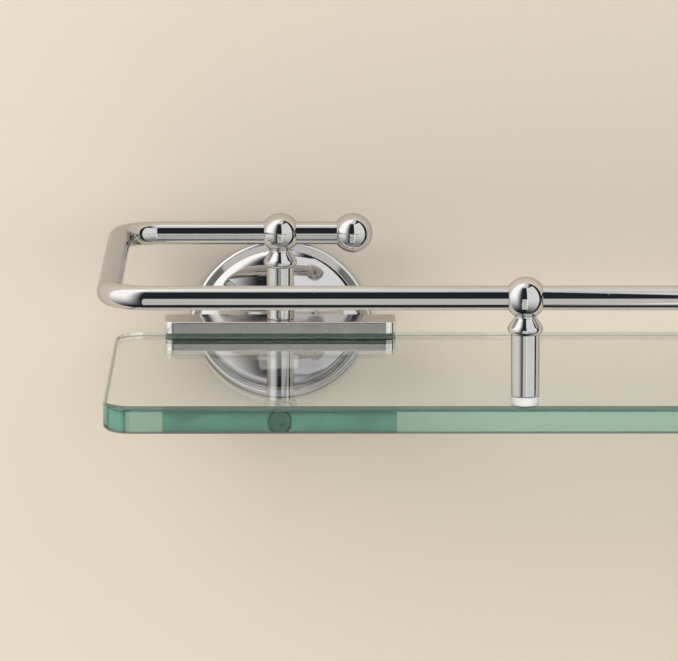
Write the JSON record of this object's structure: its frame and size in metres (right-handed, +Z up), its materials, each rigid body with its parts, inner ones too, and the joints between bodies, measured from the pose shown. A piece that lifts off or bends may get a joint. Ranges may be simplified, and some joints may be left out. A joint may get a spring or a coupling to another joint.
{
  "type": "glass wall shelf",
  "caption": "Glass wall shelf held by clamp brackets on round wall roses, with a chromed tubular gallery rail on turned posts round its front and ends.",
  "frame": {"origin": "on the wall surface, midway between the two brackets, at the height of the middle of the glass and of the centres of the wall roses", "axes": "+X along the wall to the right as seen from the front, +Y into the wall, +Z up; the front of the shelf faces -Y"},
  "size_m": [0.5036, 0.1475, 0.0688],
  "materials": {
    "glass": "clear float glass, ground and polished edges",
    "chrome": "bright chrome plate",
    "steel": "bright zinc-plated steel",
    "clear_pad": "clear flexible strip",
    "nylon": "white nylon"
  },
  "bodies": {
    "root": {"glass_shelf": "glass", "rail_middle": "chrome", "rail_end_left": "chrome", "rail_joint_pin_left": "steel", "wall_plate_left": "steel", "wall_rose_left": "chrome", "bracket_neck_left": "chrome", "clamp_screw_left": "steel", "clamp_channel_left": "chrome", "glass_pad_top_left": "clear_pad", "glass_pad_bottom_left": "clear_pad", "clamp_grub_screws_left": "steel", "bracket_post_left": "chrome", "post_stud_left": "steel", "bracket_rail_screw_left": "steel", "end_ball_left": "chrome", "front_post_left": "chrome", "front_foot_left": "nylon", "front_rail_screw_left": "steel", "rail_end_right": "chrome", "rail_joint_pin_right": "steel", "wall_plate_right": "steel", "wall_rose_right": "chrome", "bracket_neck_right": "chrome", "clamp_screw_right": "steel", "clamp_channel_right": "chrome", "glass_pad_top_right": "clear_pad", "glass_pad_bottom_right": "clear_pad", "clamp_grub_screws_right": "steel", "bracket_post_right": "chrome", "post_stud_right": "steel", "bracket_rail_screw_right": "steel", "end_ball_right": "chrome", "front_post_right": "chrome", "front_foot_right": "nylon", "front_rail_screw_right": "steel"}
  },
  "joints": []
}
